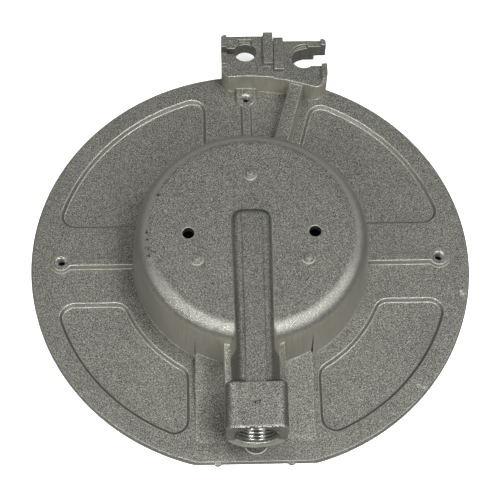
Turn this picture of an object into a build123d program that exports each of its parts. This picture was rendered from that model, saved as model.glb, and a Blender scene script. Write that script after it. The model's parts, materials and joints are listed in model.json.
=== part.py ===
# Triple crown burner base: one shot-blasted aluminium casting, shown underside up.
# The flange's hob-side face lies on Z = 0 and the injector cup rises along +Z.
# The burner's axis is the Z axis, the electrode bracket is at +Y and the gas inlet faces -Y.
# All sizes are in millimetres and all angles in degrees.
import os
from math import cos, radians, sin, sqrt

from build123d import *

# Flange: a thin disc with a straight front edge and two locating nubs on it.
flange_radius = 64.0
flange_thickness = 2.2
rim_chamfer = 0.4
front_cut = 2.3
nub_radius = 1.2
nub_proud = 0.6
nub_height = 1.5
nub_left = -10.6
nub_right = 9.8

# Recessed panels between the lands of the flange.
panel_depth = 1.15
panel_draft = 38.0
panel_rim_band = 5.8
front_panel_land = 12.8
back_panel_land = 11.7
panel_cup_land = 4.1
panel_pad_land = 1.7
panel_corner = 4.3
back_panel_x = 12.4
brace_panel_gap = 5.2

# Injector cup: drawn up from the flange, hollow on the hob side.
cup_base_radius = 34.5
cup_draw = 1.7
cup_height = 21.4
cup_round = 4.8
cup_wall = 2.2
cup_foot_wall = 2.5
cup_floor = 2.4
cup_inner_chamfer = 2.6
mouth_depth = 2.0

# Small features on the cup's outer floor.
cup_hole_radius = 1.75
cup_hole_x = 17.9
cup_hole_y = -0.5
mark_circle_radius = 18.0
mark_radius = 1.85
mark_height = 0.5
mark_pip_radius = 0.95
mark_pip_height = 1.1

# Screw bosses with their ribs. The holes are cut to the thread's outer radius.
screw_setback = 8.85
screw_radius = 1.5
boss_radius = 3.1
boss_height = 1.4
boss_draft = 10.0
rib_half_width = 1.75
rib_draft = 25.0
side_rib_y = -0.2

# Brace between the cup and the bracket.
brace_angle = 75.0
brace_half_width = 2.5
brace_step = 1.7
brace_draft = 5.6

# Gas way: pad, pedestal, ridge and inlet socket along -Y.
pad_half_width = 16.5
pad_setback = 5.7
pad_rise = 2.5
seam_left_width = 0.25
seam_right_width = 0.5
seam_depth = 1.2
seam_height = 12.0
pedestal_half_width = 8.5
pedestal_setback = 7.0
pedestal_rise = 1.7
pedestal_draft = 0.5
ridge_rise = 1.9
ridge_front_half_width = 6.7
ridge_back_half_width = 7.55
ridge_back = 8.35
ridge_corner = 5.2
ridge_draft = 14.5
ridge_round = 2.3
land_half_width = 2.75
land_height = 0.3
land_back = 5.0
land_run_in = 12.0
socket_setback = 2.7
socket_length = 13.2
socket_depth = 9.0
socket_half_width = 8.4
socket_rise = 9.5
socket_facet_drop = 2.0
socket_round = 2.4
socket_shoulder_chamfer = 0.9
inlet_radius = 6.0
inlet_depth = 12.0
inlet_chamfer = 0.5
inlet_chamfer_angle = 45.0
gas_radius = 2.75
gas_wall = 2.25
foot_mark_radius = 3.2
foot_mark_setback = 3.0
foot_mark_depth = 0.6

# Injector seat inside the cup, fed by the gas way.
injector_radius = 3.0
injector_depth = 5.0
injector_wall = 4.5
injector_land = 0.5
injector_way_radius = 2.4

# Bracket for the spark plug and the thermocouple, standing on the rim.
bracket_left = -7.4
bracket_right = 25.0
bracket_split = 8.6
bracket_wall_setback = 5.4
bracket_wall_lean = 0.9
bracket_underside = 4.1
bracket_left_corner = 4.2
bracket_right_corner = 4.6
bracket_rear_corner = 1.0
plate_thickness = 5.4
plate_step = 0.5
plug_rear_reach = 9.9
plug_reach = 4.1
plug_x = 0.0
plug_radius = 3.4
plug_slot_width = 2.0
plug_slot_shift = 0.4
notch_width = 4.2
notch_reach = 4.5
notch_depth = 0.9
couple_rear_reach = 8.3
couple_reach = 2.1
couple_x = 17.9
couple_radius = 3.75
couple_slot_low = 3.0
couple_slot_high = 4.0
couple_seat_radius = 4.9
couple_seat_shift = 0.6
couple_seat_end = 1.5
couple_seat_depth = 1.0
couple_collar_radius = 5.4
couple_collar_drop = 2.2
rail_width = 1.7
rail_height = 1.0
rail_run_in = 1.4
rail_inset = 2.1
couple_rail_length = 5.6
couple_rail_height = 1.4
bar_width = 3.0
bar_height = 1.3
bar_run_in = 1.3
bar_overhang = 0.6
bar_gap = 0.1
plug_bar_inset = 2.1
couple_bar_inset = 4.0

# Cuts run past the faces they open by this much.
overcut = 1.0

os.makedirs("parts", exist_ok=True)

# Sizes that follow from the ones above.
front_flat = flange_radius - front_cut
panel_radius = flange_radius - panel_rim_band
front_panel_x = pad_half_width + panel_pad_land
screw_circle = flange_radius - screw_setback
boss_top = flange_thickness + boss_height
cup_top_radius = cup_base_radius - cup_draw
inside_wall = cup_base_radius - cup_wall / 2
mouth_radius = cup_base_radius - cup_foot_wall
cavity_top_radius = cup_top_radius - cup_wall
cavity_top_z = cup_height - cup_floor
ridge_top = cup_height + ridge_rise
socket_axis_z = ridge_top - socket_depth
socket_front = front_flat - socket_setback
socket_back = socket_front - socket_length
socket_top = socket_axis_z + socket_rise
pedestal_front = socket_front - pedestal_setback
pedestal_top = socket_axis_z + pedestal_rise
pad_front = front_flat - pad_setback
pad_slope = pad_rise / (pad_front - cup_top_radius)
seam_foot = flange_thickness + pad_rise / 2
seam_wall_radius = cup_base_radius - cup_draw * seam_foot / cup_height
seam_floor = sqrt(seam_wall_radius**2 - pad_half_width**2) - seam_depth
gas_body_half_width = gas_radius + gas_wall
injector_boss_radius = injector_radius + injector_wall
injector_boss_end = socket_axis_z - gas_radius - injector_land - injector_depth
bracket_wall_radius = flange_radius - bracket_wall_setback
plug_top = bracket_underside + plate_thickness
plug_rear = flange_radius + plug_rear_reach
plug_y = flange_radius + plug_reach
plug_slot_near = plug_y + plug_slot_shift - plug_slot_width / 2
plug_slot_far = plug_slot_near + plug_slot_width
couple_top = plug_top - plate_step
couple_rear = flange_radius + couple_rear_reach
couple_y = flange_radius + couple_reach
couple_slot_near = couple_y - couple_slot_low
couple_slot_far = couple_y + couple_slot_high
brace_top = plug_top - brace_step
brace_x = sin(radians(90 - brace_angle))
brace_y = cos(radians(90 - brace_angle))


# Bracket: a foot on the rim carries two plates, with rails and bars that locate the clips.
def bar_side_view(front, rear, low, high, run_in):
    # Corners of a bar whose front end slopes down, seen from the side.
    return (front, low), (front + run_in, high), (rear, high), (rear, low)


with BuildPart() as bracket:
    with BuildSketch(Plane.XY.offset(bracket_underside)) as plug_plan:
        with Locations((bracket_left, 0)):
            Rectangle(bracket_split - bracket_left, plug_rear, align=Align.MIN)
        Circle(bracket_wall_radius, mode=Mode.SUBTRACT)
        fillet(plug_plan.vertices().group_by(Axis.X)[0].sort_by(Axis.Y)[0], bracket_left_corner)
        fillet(plug_plan.vertices().group_by(Axis.X)[0].sort_by(Axis.Y)[-1], bracket_rear_corner)
    extrude(amount=plug_top - bracket_underside)
    with BuildSketch(Plane.XY.offset(bracket_underside)) as couple_plan:
        with Locations((bracket_split, 0)):
            Rectangle(bracket_right - bracket_split, couple_rear, align=Align.MIN)
        Circle(bracket_wall_radius, mode=Mode.SUBTRACT)
        fillet(couple_plan.vertices().group_by(Axis.X)[-1].sort_by(Axis.Y)[0], bracket_right_corner)
        fillet(couple_plan.vertices().group_by(Axis.X)[-1].sort_by(Axis.Y)[-1], bracket_rear_corner)
    extrude(amount=couple_top - bracket_underside)
    with BuildSketch() as foot_plan:
        add(plug_plan.sketch_local)
        add(couple_plan.sketch_local)
        Circle(flange_radius - rim_chamfer, mode=Mode.INTERSECT)
    extrude(amount=bracket_underside)
    with Locations((couple_x, couple_y, bracket_underside - couple_collar_drop)):
        Cylinder(
            couple_collar_radius,
            couple_collar_drop + overcut,
            align=(Align.CENTER, Align.CENTER, Align.MIN),
        )

    # Spark plug hole with its clip slot and the notch behind it.
    with Locations((plug_x, plug_y, plug_top)):
        Hole(plug_radius, depth=plug_top)
    with BuildSketch(Plane.XY.offset(plug_top)):
        with Locations((plug_x, plug_y + plug_slot_shift)):
            Rectangle(plug_x - bracket_left + overcut, plug_slot_width, align=(Align.MAX, Align.CENTER))
    extrude(amount=-plug_top, mode=Mode.SUBTRACT)
    with BuildSketch(Plane.XY.offset(plug_top)):
        with Locations((plug_x, plug_y)):
            Rectangle(notch_width, notch_reach, align=(Align.CENTER, Align.MIN))
    extrude(amount=-notch_depth, mode=Mode.SUBTRACT)

    # Thermocouple hole in its collar, open to the right, with a shallow seat on its far side.
    with Locations((couple_x, couple_y, couple_top)):
        Hole(couple_radius, depth=couple_top)
    with BuildSketch(Plane.XY.offset(couple_top)):
        with Locations((couple_x, couple_slot_near)):
            Rectangle(
                bracket_right - couple_x + overcut, couple_slot_far - couple_slot_near, align=Align.MIN
            )
    extrude(amount=-couple_top, mode=Mode.SUBTRACT)
    with BuildSketch(Plane.XY.offset(couple_top)):
        with Locations((couple_x + couple_seat_shift, couple_y)):
            Circle(couple_seat_radius)
        with Locations((couple_x + couple_seat_end, couple_y)):
            Rectangle(
                2 * couple_seat_radius, couple_seat_radius, align=(Align.MAX, Align.MIN), mode=Mode.INTERSECT
            )
    extrude(amount=-couple_seat_depth, mode=Mode.SUBTRACT)

    # Rails along both outer edges, broken where the slots leave.
    with BuildSketch(Plane.YZ.offset(bracket_left)):
        Polygon(
            *bar_side_view(
                flange_radius - rail_inset,
                plug_slot_near,
                bracket_underside,
                plug_top + rail_height,
                rail_run_in,
            ),
            align=None,
        )
    extrude(amount=rail_width)
    with BuildSketch(Plane.XY.offset(bracket_underside)):
        add(plug_plan.sketch_local)
        with Locations((bracket_left, plug_slot_far)):
            Rectangle(rail_width, plug_rear - plug_slot_far, align=Align.MIN, mode=Mode.INTERSECT)
    extrude(amount=plug_top + rail_height - bracket_underside)
    with BuildSketch(Plane.XY.offset(bracket_underside)):
        add(couple_plan.sketch_local)
        with Locations((bracket_right, couple_slot_far)):
            Rectangle(
                rail_width,
                couple_rear - couple_slot_far,
                align=(Align.MAX, Align.MIN),
                mode=Mode.INTERSECT,
            )
    extrude(amount=couple_top + rail_height - bracket_underside)
    with BuildSketch(Plane.XY.offset(bracket_underside)):
        add(couple_plan.sketch_local)
        with Locations((bracket_right, couple_slot_near)):
            Rectangle(rail_width, couple_rail_length, align=Align.MAX, mode=Mode.INTERSECT)
    extrude(amount=couple_top + couple_rail_height - bracket_underside)

    # Two bars beside the step between the plates, past the rear edges.
    with BuildSketch(Plane.YZ.offset(bracket_split - bar_gap)):
        Polygon(
            *bar_side_view(
                flange_radius - plug_bar_inset,
                plug_rear + bar_overhang,
                bracket_underside,
                plug_top + bar_height,
                bar_run_in,
            ),
            align=None,
        )
    extrude(amount=-bar_width)
    with BuildSketch(Plane.YZ.offset(bracket_split + bar_gap)):
        Polygon(
            *bar_side_view(
                flange_radius - couple_bar_inset,
                couple_rear + bar_overhang,
                bracket_underside,
                couple_top + bar_height,
                bar_run_in,
            ),
            align=None,
        )
    extrude(amount=bar_width)

    # The front wall leans away from the cup above the flange.
    with Locations((0, 0, flange_thickness)):
        Cone(
            bracket_wall_radius,
            bracket_wall_radius + bracket_wall_lean,
            plug_top + bar_height - flange_thickness,
            align=(Align.CENTER, Align.CENTER, Align.MIN),
            mode=Mode.SUBTRACT,
        )

# Wedge above the socket's sloping top, which trims the socket and the ridge that runs into it.
with BuildPart() as facet_cut:
    with BuildSketch(Plane.YZ):
        with BuildLine():
            Polyline(
                (-socket_back, socket_top),
                (-socket_front - overcut, socket_top + overcut),
                (-socket_front, socket_top - socket_facet_drop),
                close=True,
            )
        make_face()
    extrude(amount=2 * socket_half_width, both=True)

# Ridge over the gas way, widening to a rounded end just past the burner's axis.
with BuildPart() as ridge:
    with BuildSketch(Plane.XY.offset(pedestal_top - overcut)) as ridge_plan:
        with BuildLine():
            Polyline(
                (ridge_front_half_width, inlet_depth / 2 - socket_front),
                (ridge_back_half_width, ridge_back),
                (-ridge_back_half_width, ridge_back),
                (-ridge_front_half_width, inlet_depth / 2 - socket_front),
                close=True,
            )
        make_face()
        fillet(ridge_plan.vertices(), ridge_corner)
    extrude(amount=ridge_top - pedestal_top + overcut, taper=ridge_draft)
    fillet(ridge.faces().sort_by(Axis.Z)[-1].edges(), ridge_round)
    # A narrow land on the ridge rises slowly out of its rounded end.
    with BuildSketch(Plane.YZ):
        with BuildLine():
            Polyline(
                (ridge_back - land_back, ridge_top - land_height),
                (ridge_back - land_back, ridge_top),
                (ridge_back - land_back - land_run_in, ridge_top + land_height),
                (-socket_back - overcut, ridge_top + land_height),
                (-socket_back - overcut, ridge_top - land_height),
                close=True,
            )
        make_face()
    extrude(amount=land_half_width, both=True)
    add(facet_cut.part, mode=Mode.SUBTRACT)

# Inlet socket: a round neck below, straight sides, and a flat top that slopes down to the mouth.
with BuildPart() as socket:
    with BuildSketch(Plane.XZ.offset(socket_front)):
        with BuildLine():
            ThreePointArc(
                (-socket_half_width, socket_axis_z),
                (0, socket_axis_z - socket_half_width),
                (socket_half_width, socket_axis_z),
            )
            Polyline(
                (socket_half_width, socket_axis_z),
                (socket_half_width, socket_top),
                (-socket_half_width, socket_top),
                (-socket_half_width, socket_axis_z),
            )
        make_face()
    extrude(amount=-socket_length)
    add(facet_cut.part, mode=Mode.SUBTRACT)
    socket_top_edges = socket.faces().sort_by(Axis.Z)[-1].edges().sort_by(Axis.X)
    fillet([socket_top_edges[0], socket_top_edges[-1]], socket_round)
    chamfer(socket.faces().sort_by(Axis.Y)[-1].edges(), socket_shoulder_chamfer)

with BuildPart() as base:
    # Flange disc with a broken rim edge and a straight front.
    with BuildSketch(Plane.XZ) as rim_section:
        Rectangle(flange_radius, flange_thickness, align=Align.MIN)
        chamfer(rim_section.vertices().group_by(Axis.X)[-1].sort_by(Axis.Y)[-1], rim_chamfer)
    revolve(axis=Axis.Z)
    with BuildSketch():
        with Locations((0, -front_flat)):
            Rectangle(2 * flange_radius, flange_radius, align=(Align.CENTER, Align.MAX))
    extrude(amount=flange_thickness, mode=Mode.SUBTRACT)
    nub_y = nub_radius - nub_proud - front_flat
    with Locations((nub_left, nub_y), (nub_right, nub_y)):
        Cylinder(nub_radius, nub_height, align=(Align.CENTER, Align.CENTER, Align.MIN))

    # Front pair of panels, each a sector of a ring with rounded corners.
    with BuildSketch(Plane.XY.offset(flange_thickness)) as front_panels:
        Circle(panel_radius)
        Circle(cup_base_radius + panel_cup_land, mode=Mode.SUBTRACT)
        with Locations((-front_panel_x, -front_panel_land)):
            Rectangle(flange_radius, flange_radius, align=Align.MAX, mode=Mode.INTERSECT)
        fillet(front_panels.vertices(), panel_corner)
        mirror(about=Plane.YZ)
    extrude(amount=-panel_depth, taper=panel_draft, mode=Mode.SUBTRACT)

    # Back pair of panels, which run up to the cup's wall.
    with BuildSketch(Plane.XY.offset(flange_thickness)) as back_left_panel:
        Circle(panel_radius)
        with Locations((-back_panel_x, back_panel_land)):
            Rectangle(flange_radius, flange_radius, align=(Align.MAX, Align.MIN), mode=Mode.INTERSECT)
        fillet(back_left_panel.vertices(), panel_corner)
    extrude(amount=-panel_depth, taper=panel_draft, mode=Mode.SUBTRACT)
    with BuildSketch(Plane.XY.offset(flange_thickness)) as back_right_panel:
        Circle(panel_radius)
        with Locations((0, back_panel_land)):
            Rectangle(flange_radius, flange_radius, align=Align.MIN, mode=Mode.INTERSECT)
        with Locations((brace_panel_gap * brace_y, -brace_panel_gap * brace_x)):
            Rectangle(
                2 * flange_radius,
                4 * flange_radius,
                rotation=brace_angle - 90,
                align=(Align.MIN, Align.CENTER),
                mode=Mode.INTERSECT,
            )
        fillet(back_right_panel.vertices(), panel_corner)
    extrude(amount=-panel_depth, taper=panel_draft, mode=Mode.SUBTRACT)

    # Outside of the cup.
    with BuildSketch(Plane.XZ) as cup_section:
        with BuildLine():
            Polyline((0, 0), (cup_base_radius, 0), (cup_top_radius, cup_height), (0, cup_height), close=True)
        make_face()
        fillet(cup_section.vertices().group_by(Axis.Y)[-1].sort_by(Axis.X)[-1], cup_round)
    revolve(axis=Axis.Z)

    # Pad that rises from the flange to the cup on both sides of the gas way.
    with BuildSketch(Plane.YZ):
        with BuildLine():
            Polyline(
                (-pad_front, 0),
                (-pad_front, flange_thickness),
                (-pad_half_width, flange_thickness + pad_slope * (pad_front - pad_half_width)),
                (-pad_half_width, 0),
                close=True,
            )
        make_face()
    extrude(amount=pad_half_width, both=True)

    # Pedestal under the gas way.
    with BuildSketch():
        with Locations((0, -pedestal_front)):
            Rectangle(2 * pedestal_half_width, pedestal_front, align=(Align.CENTER, Align.MIN))
    extrude(amount=pedestal_top, taper=pedestal_draft)

    # Ridge over the gas way, and the inlet socket at its front end.
    add(ridge.part)
    add(socket.part)

    # Ribs and bosses for the screws at the sides.
    for side in (-1, 1):
        with BuildSketch(Plane.XY.offset(flange_thickness)):
            with Locations((side * (inside_wall + screw_circle) / 2, side_rib_y)):
                Rectangle(screw_circle - inside_wall, 2 * rib_half_width)
        extrude(amount=boss_height, taper=rib_draft)
        with BuildSketch(Plane.XY.offset(flange_thickness)):
            with Locations((side * screw_circle, 0)):
                Circle(boss_radius)
        extrude(amount=boss_height, taper=boss_draft)

    # Rib and boss for the screw at the bracket, running into the bracket's wall.
    with BuildSketch(Plane.XY.offset(flange_thickness)):
        with Locations((0, (inside_wall + screw_circle) / 2)):
            Rectangle(2 * rib_half_width, screw_circle - inside_wall)
    extrude(amount=boss_height, taper=rib_draft)
    with BuildSketch(Plane.XY.offset(flange_thickness)):
        with Locations((0, screw_circle)):
            Circle(boss_radius)
            Rectangle(2 * boss_radius, screw_setback - rim_chamfer, align=(Align.CENTER, Align.MIN))
    extrude(amount=boss_height, taper=boss_draft)

    # Brace from the cup to the bracket.
    brace_length = bracket_wall_radius + bracket_wall_lean + overcut - inside_wall
    with BuildSketch(Plane.XY.offset(flange_thickness)):
        with Locations((inside_wall * brace_x, inside_wall * brace_y)):
            Rectangle(
                2 * brace_half_width, brace_length, rotation=brace_angle - 90, align=(Align.CENTER, Align.MIN)
            )
    extrude(amount=brace_top - flange_thickness, taper=brace_draft)
    add(bracket.part)

    # Hollow of the cup, open to the hob side through a straight mouth that seats the burner head.
    with BuildSketch(Plane.XZ) as cavity_section:
        with BuildLine():
            Polyline(
                (0, 0),
                (mouth_radius, 0),
                (mouth_radius, mouth_depth),
                (cavity_top_radius, cavity_top_z),
                (0, cavity_top_z),
                close=True,
            )
        make_face()
        chamfer(cavity_section.vertices().group_by(Axis.Y)[-1].sort_by(Axis.X)[-1], cup_inner_chamfer)
    revolve(axis=Axis.Z, mode=Mode.SUBTRACT)

    # Body of the gas way under the cup's floor, and the injector's boss at its end.
    with BuildSketch(Plane.XZ.offset(cup_top_radius - cup_wall / 2)):
        with Locations((0, socket_axis_z)):
            Circle(gas_body_half_width)
            Rectangle(
                2 * gas_body_half_width,
                cup_height - cup_floor / 2 - socket_axis_z,
                align=(Align.CENTER, Align.MIN),
            )
    extrude(amount=-(cup_top_radius - cup_wall / 2))
    with Locations((0, 0, injector_boss_end)):
        Cylinder(
            injector_boss_radius,
            cup_height - cup_floor / 2 - injector_boss_end,
            align=(Align.CENTER, Align.CENTER, Align.MIN),
        )

    # Gas way: inlet thread, drilled way and injector thread.
    with BuildSketch(Plane.XZ.offset(socket_front)):
        with Locations((0, socket_axis_z)):
            Circle(inlet_radius)
    extrude(amount=-inlet_depth, mode=Mode.SUBTRACT)
    with BuildSketch(Plane.XZ.offset(socket_front)):
        with Locations((0, socket_axis_z)):
            Circle(inlet_radius + inlet_chamfer)
    extrude(amount=-2 * inlet_chamfer, taper=inlet_chamfer_angle, mode=Mode.SUBTRACT)
    with BuildSketch(Plane.XZ.offset(socket_front)):
        with Locations((0, socket_axis_z)):
            Circle(gas_radius)
    extrude(amount=-socket_front, mode=Mode.SUBTRACT)
    with BuildSketch(Plane.XY.offset(injector_boss_end)):
        Circle(injector_radius)
    extrude(amount=injector_depth, mode=Mode.SUBTRACT)
    with BuildSketch(Plane.XY.offset(injector_boss_end)):
        Circle(injector_way_radius)
    extrude(amount=socket_axis_z - injector_boss_end, mode=Mode.SUBTRACT)

    # Screw holes through the bosses and two plain holes through the cup's floor.
    with BuildSketch():
        with Locations((-screw_circle, 0), (screw_circle, 0), (0, screw_circle)):
            Circle(screw_radius)
    extrude(amount=boss_top, mode=Mode.SUBTRACT)
    with BuildSketch(Plane.XY.offset(cup_height)):
        with Locations((-cup_hole_x, cup_hole_y), (cup_hole_x, cup_hole_y)):
            Circle(cup_hole_radius)
    extrude(amount=-cup_floor - overcut, mode=Mode.SUBTRACT)

    # Seams of the mould on the cup's wall above the pad's edges, which close upwards.
    for seam_x, seam_width in ((-pad_half_width, seam_left_width), (pad_half_width, seam_right_width)):
        with BuildSketch(Plane.XZ.offset(seam_floor)):
            Polygon(
                (seam_x - seam_width / 2, seam_foot),
                (seam_x + seam_width / 2, seam_foot),
                (seam_x, seam_foot + seam_height),
                align=None,
            )
        extrude(amount=seam_depth + overcut, mode=Mode.SUBTRACT)

    # Round witness marks on the cup, each with a pip.
    with BuildSketch(Plane.XY.offset(cup_height)):
        with PolarLocations(mark_circle_radius, 3, start_angle=90):
            Circle(mark_radius)
    extrude(amount=mark_height)
    with BuildSketch(Plane.XY.offset(cup_height + mark_height)):
        with PolarLocations(mark_circle_radius, 3, start_angle=90):
            Circle(mark_pip_radius)
    extrude(amount=mark_pip_height)

    # Round sunk mark in the floor under the mouth.
    with BuildSketch(Plane.XY.offset(flange_thickness - foot_mark_depth)):
        with Locations((0, foot_mark_setback - socket_front)):
            Circle(foot_mark_radius)
    extrude(amount=foot_mark_depth + overcut, mode=Mode.SUBTRACT)

base.part.label = "burner_base"
export_step(base.part, "parts/burner_base.step")
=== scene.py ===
# %% [markdown]
# # Triple crown burner base
# This scene dresses one aluminium die casting: the base that carries a large gas burner under a hob.
# The casting lies underside up, with its cup towards us and the gas inlet at the front.
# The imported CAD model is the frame, so every new piece is placed in its coordinates, in metres.

# %% Load the frame
import json
import math
import random

import bmesh
import bpy
from mathutils import Matrix, Vector


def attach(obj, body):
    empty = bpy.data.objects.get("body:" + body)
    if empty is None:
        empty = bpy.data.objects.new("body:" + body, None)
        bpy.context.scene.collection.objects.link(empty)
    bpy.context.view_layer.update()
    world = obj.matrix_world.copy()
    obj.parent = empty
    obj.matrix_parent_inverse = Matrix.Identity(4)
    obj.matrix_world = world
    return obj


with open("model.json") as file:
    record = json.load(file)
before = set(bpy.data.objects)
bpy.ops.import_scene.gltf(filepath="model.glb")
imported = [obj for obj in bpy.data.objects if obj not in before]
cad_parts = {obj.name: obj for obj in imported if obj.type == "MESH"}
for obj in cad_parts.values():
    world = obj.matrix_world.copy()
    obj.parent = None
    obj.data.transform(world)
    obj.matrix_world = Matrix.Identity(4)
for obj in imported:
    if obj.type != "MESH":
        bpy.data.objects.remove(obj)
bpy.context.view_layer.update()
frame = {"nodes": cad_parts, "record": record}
casting = frame["nodes"]["burner_base"]
mounts = {m["name"]: m for m in frame["record"]["mounts"]}
MM = 0.001

# %% [markdown]
# ## Camera
# The photograph looks down at the casting from the front, about 63 degrees above the hob plane.
# A long lens from half a metre keeps the far rim nearly as wide as the near one, as in the photograph.
# The camera is turned a little about its own axis, because the casting isn't quite level in the frame.

# %% Place the camera
view_azimuth = math.radians(-3.412)
view_elevation = math.radians(63.111)
view_roll = math.radians(2.133)
view_distance = 469.8 * MM
view_target = Vector((-0.04, 4.65, 0.0)) * MM
back = Vector((
    math.sin(view_azimuth) * math.cos(view_elevation),
    -math.cos(view_azimuth) * math.cos(view_elevation),
    math.sin(view_elevation),
))
right = Vector((math.cos(view_azimuth), math.sin(view_azimuth), 0.0))
turned = Matrix.Rotation(view_roll, 3, back)
right = turned @ right
up = back.cross(right)
camera_data = bpy.data.cameras.new("photo_camera")
camera_data.sensor_width = 36.0
camera_data.lens = 114.64
camera_data.clip_start = 0.01
camera = bpy.data.objects.new("photo_camera", camera_data)
place = Matrix((right, up, back)).transposed().to_4x4()
place.translation = view_target + back * view_distance
camera.matrix_world = place
bpy.context.scene.collection.objects.link(camera)
bpy.context.scene.camera = camera
print("camera at", [round(x, 4) for x in place.translation])

# %% [markdown]
# ## Shader kit
# Node trees get long when every node is made by hand, so a few helpers make a node, fill or link its inputs
# and hand back its output. The world and the metals are built from them. An input goes by its name, or by
# its number as i0.

# %% A small kit for shader nodes


def new_finish(name):
    finish = bpy.data.materials.new(name)
    finish.use_nodes = True
    return finish, finish.node_tree, finish.node_tree.nodes["Principled BSDF"]


def add_node(tree, kind, settings=None, **inputs):
    # Makes a node, sets its plain properties, and links or fills its inputs.
    node = tree.nodes.new(kind)
    for key, value in (settings or {}).items():
        setattr(node, key, value)
    for key, value in inputs.items():
        by_number = key[0] == "i" and key[1:].isdigit()
        socket = node.inputs[int(key[1:]) if by_number else key]
        if isinstance(value, bpy.types.NodeSocket):
            tree.links.new(value, socket)
        else:
            socket.default_value = value
    return node


def maths(tree, operation, a, b=0.0):
    return add_node(tree, "ShaderNodeMath", {"operation": operation}, i0=a, i1=b).outputs[0]


def mix_colour(tree, factor, a, b, blend="MIX"):
    node = add_node(tree, "ShaderNodeMix", {"data_type": "RGBA", "blend_type": blend})
    for socket, value in ((node.inputs[0], factor), (node.inputs[6], a), (node.inputs[7], b)):
        if isinstance(value, bpy.types.NodeSocket):
            tree.links.new(value, socket)
        else:
            socket.default_value = value
    return node.outputs[2]


def remap(tree, value, low, high, to_low=0.0, to_high=1.0):
    node = add_node(tree, "ShaderNodeMapRange", {"clamp": True}, Value=value)
    node.inputs["From Min"].default_value = low
    node.inputs["From Max"].default_value = high
    node.inputs["To Min"].default_value = to_low
    node.inputs["To Max"].default_value = to_high
    return node.outputs["Result"]


def noise(tree, place, scale, detail, rough):
    return add_node(
        tree, "ShaderNodeTexNoise", None, Vector=place, Scale=scale, Detail=detail, Roughness=rough
    ).outputs["Fac"]


# %% [markdown]
# ## Light
# A product photograph of bare metal is lit by large soft sources, because metal shows what it reflects.
# A pale sky, darker towards the horizon, gives the even grey. Two softboxes in front draw the bright band on
# the cup's rounded edge and the two bright columns in the thread, one on the right leaves soft shade on the
# left of each raised form, and a weak one at the back lifts the level faces.

# %% World and softboxes
world = bpy.data.worlds.new("studio_white")
bpy.context.scene.world = world
world.use_nodes = True
sky = world.node_tree
sky_way = add_node(sky, "ShaderNodeTexCoord").outputs["Generated"]
sky_height = add_node(sky, "ShaderNodeSeparateXYZ", None, Vector=sky_way).outputs["Z"]
sky_blend = remap(sky, sky_height, -0.1, 0.85)
horizon_grey = (0.25, 0.25, 0.246, 1.0)
overhead_grey = (0.465, 0.465, 0.446, 1.0)
sky_colour = mix_colour(sky, sky_blend, horizon_grey, overhead_grey)
sky.links.new(sky_colour, sky.nodes["Background"].inputs["Color"])
bpy.context.scene.view_settings.view_transform = "Standard"


def softbox(name, azimuth, elevation, distance, width, height, power):
    # An area light on a sphere round the casting, turned to its middle.
    light = bpy.data.lights.new(name, "AREA")
    light.shape = "RECTANGLE"
    light.size = width
    light.size_y = height
    light.energy = power
    lamp = bpy.data.objects.new(name, light)
    azimuth, elevation = math.radians(azimuth), math.radians(elevation)
    spot = Vector((
        math.cos(azimuth) * math.cos(elevation),
        math.sin(azimuth) * math.cos(elevation),
        math.sin(elevation),
    )) * distance
    lamp.matrix_world = Matrix.Translation(spot) @ spot.to_track_quat("Z", "Y").to_matrix().to_4x4()
    bpy.context.scene.collection.objects.link(lamp)
    return lamp


softbox("left_front_softbox", -131, 47, 2.0, 0.95, 0.5, 29.0)
softbox("right_front_softbox", -50, 47, 2.0, 0.75, 0.45, 28.0)
softbox("right_softbox", -8, 66, 2.0, 0.5, 0.5, 16.0)
softbox("top_softbox", 85, 66, 2.0, 1.0, 1.0, 4.0)
print("softboxes placed")

# %% [markdown]
# ## Floor
# The casting stands on a plain pale floor, bright enough to read as white. The metal doesn't mirror it,
# because the photograph's white ground was lit by itself. A dark card lies under the casting, so that its
# through holes read dark, as they do in the photograph.

# %% Make the floor and the card
floor_level = -0.2 * MM
floor_reach = 3.0
card_level = -0.1 * MM
card_radius = 58.0 * MM


def stage_sheet(name, sheet, level, paint_name, colour, roughness):
    # Turns a flat bmesh into a stage object with a plain paint, and hands back both.
    bmesh.ops.translate(sheet, verts=sheet.verts, vec=(0, 0, level))
    data = bpy.data.meshes.new(name)
    sheet.to_mesh(data)
    sheet.free()
    piece = bpy.data.objects.new(name, data)
    bpy.context.scene.collection.objects.link(piece)
    paint, _, shader = new_finish(paint_name)
    shader.inputs["Base Color"].default_value = colour
    shader.inputs["Roughness"].default_value = roughness
    data.materials.append(paint)
    return piece, shader


floor_sheet = bmesh.new()
bmesh.ops.create_grid(floor_sheet, x_segments=1, y_segments=1, size=floor_reach)
floor, floor_shader = stage_sheet(
    "floor", floor_sheet, floor_level, "pale_floor", (0.93, 0.93, 0.93, 1.0), 0.9
)
floor_shader.inputs["Specular IOR Level"].default_value = 0.1
floor_shader.inputs["Emission Color"].default_value = (1.0, 1.0, 1.0, 1.0)
floor_shader.inputs["Emission Strength"].default_value = 0.55
floor.visible_diffuse = False
floor.visible_glossy = False

# The dark card is a sheet of painted shade: it stands for the shade under the casting, seen through its
# holes.
card_sheet = bmesh.new()
bmesh.ops.create_circle(card_sheet, cap_ends=True, segments=96, radius=card_radius)
stage_sheet("dark_card", card_sheet, card_level, "dark_card", (0.02, 0.02, 0.02, 1.0), 1.0)
print("floor at z", floor_level)

# %% [markdown]
# ## Shot-blasted aluminium
# A die casting comes out of its mould with smooth drawn walls, and shot blasting then pits the faces that
# it hits. So the faces that look up get a bright and dark grain with small dents, and the steep walls stay
# smoother, a little browner, and drawn in fine lines along the way the mould opened.
# Everything reads Object coordinates, so the grain keeps its size in millimetres.

# %% Helpers for masks on the casting
blasted, tree, metal = new_finish("blasted_aluminium")


def ramp(value, low, high, to_low=0.0, to_high=1.0):
    return remap(tree, value, low, high, to_low, to_high)


def above(value, limit):
    return maths(tree, "GREATER_THAN", value, limit)


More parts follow.
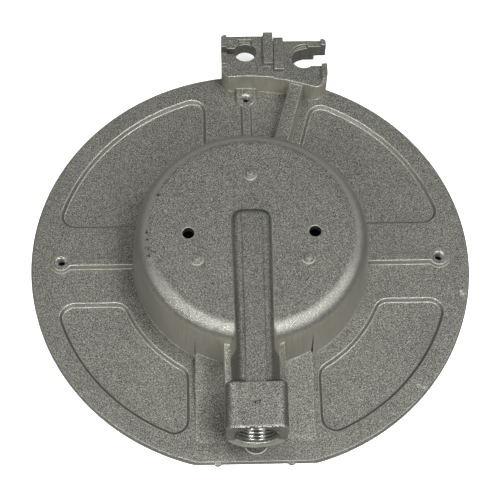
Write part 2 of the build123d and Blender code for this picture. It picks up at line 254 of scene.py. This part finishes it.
def below(value, limit):
    return maths(tree, "LESS_THAN", value, limit)


def either(a, b):
    return maths(tree, "MAXIMUM", a, b)


def unless(mask):
    return maths(tree, "SUBTRACT", 1.0, mask)


def times(*factors):
    product = factors[0]
    for factor in factors[1:]:
        product = maths(tree, "MULTIPLY", product, factor)
    return product


def vector(operation, output, **inputs):
    return add_node(tree, "ShaderNodeVectorMath", {"operation": operation}, **inputs).outputs[output]


def blend_values(mask, a, b):
    return add_node(tree, "ShaderNodeMix", {"data_type": "FLOAT"}, i0=mask, i2=a, i3=b).outputs[0]


def grey(tone):
    return add_node(tree, "ShaderNodeCombineColor", None, i0=tone, i1=tone, i2=tone).outputs[0]


def paint(mask, under, colour):
    return mix_colour(tree, mask, under, colour)


def shade(under, tone):
    return mix_colour(tree, 1.0, under, grey(tone), "MULTIPLY")


# %% [markdown]
# Masks need to know where a point of the casting is. One node turns Object coordinates into millimetres, and
# from those come the distance from the burner's axis and the area of the gas way, which is blasted all over.

# %% Find places on the casting
coords = add_node(tree, "ShaderNodeTexCoord")
place = coords.outputs["Object"]
facing = add_node(tree, "ShaderNodeSeparateXYZ", None, Vector=coords.outputs["Normal"]).outputs["Z"]
place_mm = vector("SCALE", 0, i0=place, Scale=1.0 / MM)
x_mm, y_mm, z_mm = add_node(tree, "ShaderNodeSeparateXYZ", None, Vector=place_mm).outputs
flat_place = add_node(tree, "ShaderNodeCombineXYZ", None, X=x_mm, Y=y_mm).outputs[0]
from_axis = vector("LENGTH", "Value", i0=flat_place)
from_middle = maths(tree, "ABSOLUTE", x_mm)
socket_back = -45.8
socket_half_width = 8.4
ridge_half_width = 5.2
low_floor = 5.5
gas_half_width = ramp(y_mm, -36.4, -36.6, ridge_half_width, socket_half_width)
gas_way = times(below(from_middle, gas_half_width), above(z_mm, 12.0), below(y_mm, 12.0))
bracket_run_in = times(above(y_mm, 60.5), ramp(facing, 0.08, 0.2))
on_bracket = either(above(y_mm, 64.5), bracket_run_in)
faces_up = either(ramp(facing, 0.30, 0.75), times(either(gas_way, on_bracket), 0.75))

# %% Lay the grain
dark_grain = (0.020, 0.0198, 0.017, 1.0)
light_grain = (0.280, 0.279, 0.246, 1.0)
bright_speck = (0.52, 0.52, 0.48, 1.0)
dark_wall = (0.318, 0.307, 0.262, 1.0)
light_wall = (0.373, 0.361, 0.310, 1.0)
# The grain is turned, so that no level face of the casting lies along the noise's own grid.
tilted = add_node(tree, "ShaderNodeMapping", None, Vector=place, Rotation=(0.63, 0.41, 0.27)).outputs[0]
coarse_grain = noise(tree, tilted, 5000.0, 2.0, 0.6)
fine_grain = noise(tree, tilted, 9400.0, 2.0, 0.6)
grain = maths(tree, "ADD", times(coarse_grain, 0.55), times(fine_grain, 0.45))
sparkle = ramp(noise(tree, tilted, 3100.0, 0.0, 0.5), 0.64, 0.74, 0.0, 0.45)
drag_place = add_node(tree, "ShaderNodeMapping", None, Vector=place, Scale=(1.0, 1.0, 0.06)).outputs[0]
drag = noise(tree, drag_place, 1300.0, 2.0, 0.5)
mottle = noise(tree, place, 90.0, 3.0, 0.55)

up_colour = paint(ramp(grain, 0.46, 0.55), dark_grain, light_grain)
up_colour = paint(sparkle, up_colour, bright_speck)
# Up-facing grain is painted darker the more a face leans away from up: painted shade on leaning faces.
up_colour = shade(up_colour, ramp(facing, 0.50, 0.97, 0.85, 1.0))
wall_colour = paint(ramp(drag, 0.35, 0.65), dark_wall, light_wall)
skin_colour = paint(faces_up, wall_colour, up_colour)
skin_colour = shade(skin_colour, ramp(mottle, 0.3, 0.7, 0.94, 1.06))

# %% [markdown]
# Raised edges are rubbed bright in patches where castings knock together in a bin. A Bevel node leans away
# from the flat face only near an edge: there the metal is smoother and painted lighter, a painted highlight.
# Inner corners are painted darker as painted shade. Ambient occlusion, looked at from inside and from
# outside the metal, tells raised edges from inner corners.

# %% Rub the edges, paint highlight on rounded edges and paint shade in corners
edge_width = 0.45 * MM
corner_reach = 4.0 * MM
edge_highlight_colour = (0.40, 0.395, 0.355, 1.0)
rubbed_colour = (0.42, 0.42, 0.385, 1.0)
rim_from, rim_to = 59.5, 61.0
soft_edges = add_node(tree, "ShaderNodeBevel", {"samples": 8}, Radius=edge_width).outputs[0]
flat_normal = add_node(tree, "ShaderNodeNewGeometry").outputs["True Normal"]
same_way = vector("DOT_PRODUCT", "Value", i0=soft_edges, i1=flat_normal)
outside = add_node(tree, "ShaderNodeAmbientOcclusion", {"samples": 6}, Distance=corner_reach).outputs["AO"]
inside = add_node(
    tree, "ShaderNodeAmbientOcclusion", {"samples": 6, "inside": True}, Distance=edge_width
).outputs["AO"]
rounded_edge = times(
    ramp(same_way, 0.995, 0.94),
    ramp(from_axis, rim_from, rim_to, 1.0, 0.35),
    ramp(z_mm, 20.5, 21.0, 1.0, 0.8),
    ramp(gas_way, 0.0, 1.0, 1.0, 0.15),
    ramp(outside, 0.52, 0.70),
)
# Edges rounded by the Bevel, inner and raised alike, are painted lighter: painted highlight.
skin_colour = paint(rounded_edge, skin_colour, edge_highlight_colour)
patchy = ramp(noise(tree, place, 420.0, 2.0, 0.5), 0.40, 0.62, 0.15, 1.0)
rubbed = times(ramp(inside, 0.72, 0.42), patchy, ramp(from_axis, rim_from, rim_to, 1.0, 0.55))
skin_colour = paint(rubbed, skin_colour, rubbed_colour)
# Corners and recesses are painted darker by ambient occlusion: painted shade.
skin_colour = shade(skin_colour, ramp(outside, 0.14, 0.45, 0.30, 1.0))

# %% [markdown]
# Areas of the casting are painted lighter or darker to stand for light and shade: painted shade beside tall
# forms, and painted light on faces the lamps leave too dull. They are picked out by their place in
# millimetres, first those of
# the gas way: the sides of the ridge, the line beside its land, the socket's shoulders and mouth, and the
# pedestal's ledge.

# %% Pick out areas of the gas way
behind_socket = above(y_mm, socket_back)
beyond_cup = below(y_mm, -31.0)
high_enough = either(above(z_mm, 21.65), times(beyond_cup, above(z_mm, 16.3)))
on_ridge = below(from_middle, 8.3)
ridge_side = times(ramp(from_middle, 2.65, 2.95), on_ridge, high_enough, behind_socket)
land_line = times(ramp(from_middle, 2.6, 2.8), ramp(from_middle, 3.5, 3.0), high_enough, behind_socket)
socket_side = times(ramp(from_middle, 4.9, 6.6), unless(behind_socket), above(z_mm, 14.0), on_ridge)
on_socket = times(unless(behind_socket), above(z_mm, 5.0))
mouth_face = times(on_socket, below(y_mm, -58.3))
from_ledge = maths(tree, "ABSOLUTE", maths(tree, "SUBTRACT", z_mm, 16.0))
left_ledge = times(
    ramp(x_mm, -5.6, -5.9), above(x_mm, -8.8), below(from_ledge, 0.3), beyond_cup, behind_socket,
    ramp(facing, 0.5, 0.8),
)

# %% [markdown]
# The others lie on the floor, the cup and the bracket: painted shade left of the socket and of the cup,
# painted light on the floor further left, a painted highlight on the round of the cup at the front where the
# band of light falls, the smooth round at its back, also painted lighter, the bracket's walls, painted
# lighter, and the walls of the cup's holes, painted dark as shade.

# %% Pick out areas of the floor, the cup and the bracket
beside_socket = times(
    ramp(x_mm, -13.5, -9.5), below(x_mm, -7.0), ramp(y_mm, -57.5, -53.5), ramp(y_mm, -41.0, -46.0),
    below(z_mm, low_floor),
)
left_floor = times(
    ramp(x_mm, -22.0, -16.0), ramp(x_mm, -7.5, -8.5), ramp(y_mm, -34.0, -37.0), below(z_mm, low_floor),
)
upper_left_way = (-0.906, 0.423, 0.0)
upper_left = vector("DOT_PRODUCT", "Value", i0=place_mm, i1=upper_left_way)
upper_left = maths(tree, "DIVIDE", upper_left, either(from_axis, 1.0))
beside_cup = times(ramp(from_axis, 42.5, 35.5), ramp(upper_left, 0.45, 0.9), below(z_mm, low_floor))
front_round = times(
    ramp(from_axis, 28.0, 29.2), below(from_axis, 34.0), ramp(z_mm, 14.0, 16.0), ramp(y_mm, -6.0, -16.0),
    ramp(facing, 0.25, 0.55), unless(gas_way),
)
back_round = times(
    ramp(from_axis, 29.0, 30.2), ramp(from_axis, 34.6, 34.3), ramp(y_mm, -20.0, -4.0),
    ramp(z_mm, 12.0, 16.5, 0.0, 0.75),
)
bracket_wall = times(above(y_mm, 65.5), ramp(facing, 0.5, 0.2))
cup_hole_x, cup_hole_y, cup_hole_reach_squared = 17.9, -0.5, 4.2
across_hole = maths(tree, "SUBTRACT", from_middle, cup_hole_x)
along_hole = maths(tree, "SUBTRACT", y_mm, cup_hole_y)
from_hole = maths(tree, "ADD", times(across_hole, across_hole), times(along_hole, along_hole))
in_hole = times(below(from_hole, cup_hole_reach_squared), below(z_mm, 21.2))

# %% Paint each area's light or shade
front_round_highlight_colour = (0.22, 0.219, 0.195, 1.0)
side_round_painted_light = (0.25, 0.248, 0.225, 1.0)
back_round_painted_light = (0.40, 0.395, 0.35, 1.0)
# Each tone multiplies the colour of its area: below 1 is painted shade, above 1 is painted light.
painted_shade_and_light = (
    (ridge_side, 1.05),
    (gas_way, 0.93),
    (socket_side, 1.35),
    (land_line, 0.78),
    (on_socket, 0.80),
    (mouth_face, 1.75),
    (beside_socket, 0.68),
    (left_floor, 1.18),
    (beside_cup, 0.92),
    (left_ledge, 2.0),
    (bracket_wall, 1.2),
    (front_round, 1.3),
    (in_hole, 0.22),
)
painted_shade_and_light_tone = times(*(ramp(area, 0.0, 1.0, 1.0, tone) for area, tone in painted_shade_and_light))
# The front round's grain is evened here and, with its tone above, lightened: a painted highlight where the
# band of light falls.
skin_colour = paint(times(front_round, 0.45), skin_colour, front_round_highlight_colour)
# The back round is smooth, without grain, and painted lighter: smooth finish and painted light together.
skin_colour = paint(
    back_round, skin_colour, paint(ramp(y_mm, -5.0, 25.0), side_round_painted_light, back_round_painted_light)
)
skin_colour = shade(skin_colour, painted_shade_and_light_tone)
print("areas toned:", len(painted_shade_and_light))

# %% [markdown]
# A used spare part has a few marks of its own: dark pits along the cup's left shoulder, and a nick and a
# scrape on the rim that shine as bare metal. The near edge of the round sunk mark under the mouth gets a
# painted highlight.
# Each pit or nick is a soft ball of distance round a point in millimetres.

# %% Pits, nicks and the painted highlight on the sunk mark's near edge


def balls(places):
    # One inside any of the balls, falling to nothing at its radius.
    field = 0.0
    for middle, radius in places:
        far = vector("DISTANCE", "Value", i0=place_mm, i1=middle)
        field = either(field, ramp(far, 0.5 * radius, radius, 1.0, 0.0))
    return field


pit_colour = (0.025, 0.025, 0.024, 1.0)
scrape_and_highlight_colour = (0.68, 0.677, 0.63, 1.0)
pit_places = (
    ((-26.4, 11.9, 21.3), 0.8),
    ((-29.6, 0.1, 21.2), 0.8),
    ((-29.5, -2.5, 21.2), 0.7),
    ((-29.4, -4.9, 21.2), 1.1),
    ((-29.1, -7.3, 21.2), 0.9),
    ((-28.8, -9.9, 21.2), 0.8),
    ((-0.7, -52.2, 22.8), 0.8),
    ((0.5, -52.1, 22.8), 0.8),
    ((-11.2, -16.6, 21.4), 0.6),
)
nick_places = (
    ((61.2, -11.5, 2.2), 1.3),
    ((46.4, -40.3, 2.2), 0.8),
    ((48.0, -40.8, 2.2), 0.8),
    ((49.7, -41.3, 2.2), 0.9),
    ((-29.6, -11.0, 17.8), 0.9),
)
sunk_mark_middle = (0.0, -56.0, 2.2)
pits = times(balls(pit_places), ramp(noise(tree, place, 1500.0, 2.0, 0.6), 0.42, 0.56))
pinholes = ramp(noise(tree, tilted, 800.0, 3.0, 0.65), 0.67, 0.72, 0.0, 0.6)
pits = either(pits, times(pinholes, above(z_mm, 16.0)))
skin_colour = paint(pits, skin_colour, pit_colour)
nicks = times(balls(nick_places), ramp(noise(tree, place, 1700.0, 2.0, 0.6), 0.42, 0.60, 0.0, 0.6))
from_mark = vector("DISTANCE", "Value", i0=place_mm, i1=sunk_mark_middle)
# The near edge of the sunk mark is painted bright: a painted highlight. The nicks share its colour as bare
# metal.
near_lip_highlight = times(ramp(from_mark, 3.05, 3.2), ramp(from_mark, 3.75, 3.5), ramp(y_mm, -57.4, -57.9))
skin_colour = paint(either(nicks, near_lip_highlight), skin_colour, scrape_and_highlight_colour)
tree.links.new(skin_colour, metal.inputs["Base Color"])
tree.links.new(ramp(faces_up, 0.0, 1.0, 0.72, 0.9), metal.inputs["Metallic"])
print("pits:", len(pit_places), "nicks:", len(nick_places))

# %% Roughness and dents
edge_roughness = 0.27
dent_depth = 0.16 * MM
rough_up = ramp(grain, 0.40, 0.60, 0.50, 0.34)
rough_wall = ramp(drag, 0.35, 0.65, 0.36, 0.44)
roughness = blend_values(rounded_edge, blend_values(faces_up, rough_wall, rough_up), edge_roughness)
roughness = times(roughness, ramp(front_round, 0.0, 1.0, 1.0, 0.72))
tree.links.new(roughness, metal.inputs["Roughness"])
height = maths(tree, "ADD", times(grain, faces_up), times(drag, 0.15, unless(faces_up)))
dents = add_node(
    tree, "ShaderNodeBump", None, Strength=1.0, Distance=dent_depth, Height=height, Normal=soft_edges
).outputs[0]
tree.links.new(dents, metal.inputs["Normal"])
casting.data.materials.clear()
casting.data.materials.append(blasted)
print("finish nodes:", len(tree.nodes))

# %% [markdown]
# ## Cut threads
# The inlet, the injector seat and the screw bosses are tapped after casting, so their threads are bright cut
# metal. The solid has plain bores at the thread's outer radius. Each thread is one ridge wound up the bore:
# a four-point tooth is spun about the bore's axis and moved along it by one pitch a turn, with closed ends.

# %% Bright cut metal


def bare_metal(name, colour, roughness):
    finish, _, shader = new_finish(name)
    shader.inputs["Base Color"].default_value = colour
    shader.inputs["Roughness"].default_value = roughness
    shader.inputs["Metallic"].default_value = 1.0
    return finish


cut_metal = bare_metal("cut_aluminium", (0.30, 0.30, 0.288, 1.0), 0.22)
tapped_metal = bare_metal("tapped_aluminium", (0.48, 0.48, 0.46, 1.0), 0.3)
print("cut metals:", cut_metal.name, tapped_metal.name)

# %% Put a new piece on the casting


def fix_piece(name, data):
    piece = bpy.data.objects.new(name, data)
    bpy.context.scene.collection.objects.link(piece)
    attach(piece, "root")
    print(name, "faces", len(data.polygons))


# %% A thread wound up a bore
tooth_depth = 0.54
tooth_foot = 0.44
tooth_crest = 0.06
root_overlap = 0.02 * MM


def wind_thread(name, mount, mouth, pitch, from_mouth, turns, finish, steps):
    # Winds one tooth up the bore of a mount, starting from_mouth in from the bore's open end.
    inward = -Vector(mount["axis"])
    radius = mount["dims"]["r_mm"] * MM
    start = mouth + inward * from_mouth
    side = Vector((1.0, 0.0, 0.0))
    foot = start + side * (radius + root_overlap)
    crest = start + side * (radius - tooth_depth * pitch)
    mesh = bmesh.new()
    tooth = [
        mesh.verts.new(foot - inward * tooth_foot * pitch),
        mesh.verts.new(crest - inward * tooth_crest * pitch),
        mesh.verts.new(crest + inward * tooth_crest * pitch),
        mesh.verts.new(foot + inward * tooth_foot * pitch),
    ]
    edges = [mesh.edges.new((a, b)) for a, b in zip(tooth, tooth[1:] + tooth[:1])]
    bmesh.ops.spin(
        mesh, geom=tooth + edges, cent=start, axis=inward, dvec=inward * pitch / steps,
        angle=2 * math.pi * turns, steps=steps * turns, use_merge=False, use_duplicate=False,
    )
    bmesh.ops.holes_fill(mesh, edges=[e for e in mesh.edges if e.is_boundary])
    bmesh.ops.recalc_face_normals(mesh, faces=mesh.faces)
    print(name, "open edges", sum(e.is_boundary for e in mesh.edges))
    data = bpy.data.meshes.new(name)
    mesh.to_mesh(data)
    mesh.free()
    data.polygons.foreach_set("use_smooth", [True] * len(data.polygons))
    data.set_sharp_from_angle(angle=math.radians(80))
    data.materials.append(finish)
    fix_piece(name, data)


# %% Wind the threads
inlet_mouth = Vector((0.0, -58.5, 14.3)) * MM
injector_mouth = Vector((0.0, 0.0, 6.05)) * MM
wind_thread(
    "inlet_thread", mounts["inlet_thread"], inlet_mouth, 1.0 * MM, 0.6 * MM, 10, cut_metal, 96
)
wind_thread(
    "injector_thread", mounts["injector_thread"], injector_mouth, 0.75 * MM, 0.5 * MM, 5, cut_metal, 96
)
for screw in ("screw_left", "screw_right", "screw_back"):
    screw_x, screw_y, _ = mounts[screw]["pos_m"]
    screw_mouth = Vector((screw_x, screw_y, 0.0))
    wind_thread(
        screw + "_thread", mounts[screw], screw_mouth, 0.5 * MM, 0.3 * MM, 6, tapped_metal, 48
    )

# %% [markdown]
# ## Burr on the socket
# Facing the mouth left a thin bright burr along the socket's upper front edge. It starts as a long thin bar,
# which is cut across many times, and each cut is then pushed up, down or out by a seeded random step.

# %% Raise the burr
random.seed(7)
burr_size = Vector((13.4, 0.3, 0.3)) * MM
burr_middle = Vector((-0.1, -58.93, 21.72)) * MM
burr_cuts = 44
lowest_lift, highest_lift = -0.22, 0.16
burr_lean = 0.4
burr_mesh = bmesh.new()
bmesh.ops.create_cube(burr_mesh, size=1.0)
bmesh.ops.scale(burr_mesh, verts=burr_mesh.verts, vec=burr_size)
long_edges = [e for e in burr_mesh.edges if abs(e.verts[0].co.x - e.verts[1].co.x) > MM]
bmesh.ops.subdivide_edges(burr_mesh, edges=long_edges, cuts=burr_cuts, use_grid_fill=False)
bmesh.ops.translate(burr_mesh, verts=burr_mesh.verts, vec=burr_middle)
ranks = sorted({round(v.co.x, 7) for v in burr_mesh.verts})
lifts = {x: random.uniform(lowest_lift, highest_lift) * MM for x in ranks}
for v in burr_mesh.verts:
    lift = lifts[round(v.co.x, 7)]
    v.co.z += lift
    v.co.y += lift * burr_lean
bmesh.ops.recalc_face_normals(burr_mesh, faces=burr_mesh.faces)
burr_data = bpy.data.meshes.new("socket_burr")
burr_mesh.to_mesh(burr_data)
burr_mesh.free()
burr_data.materials.append(cut_metal)
fix_piece("socket_burr", burr_data)
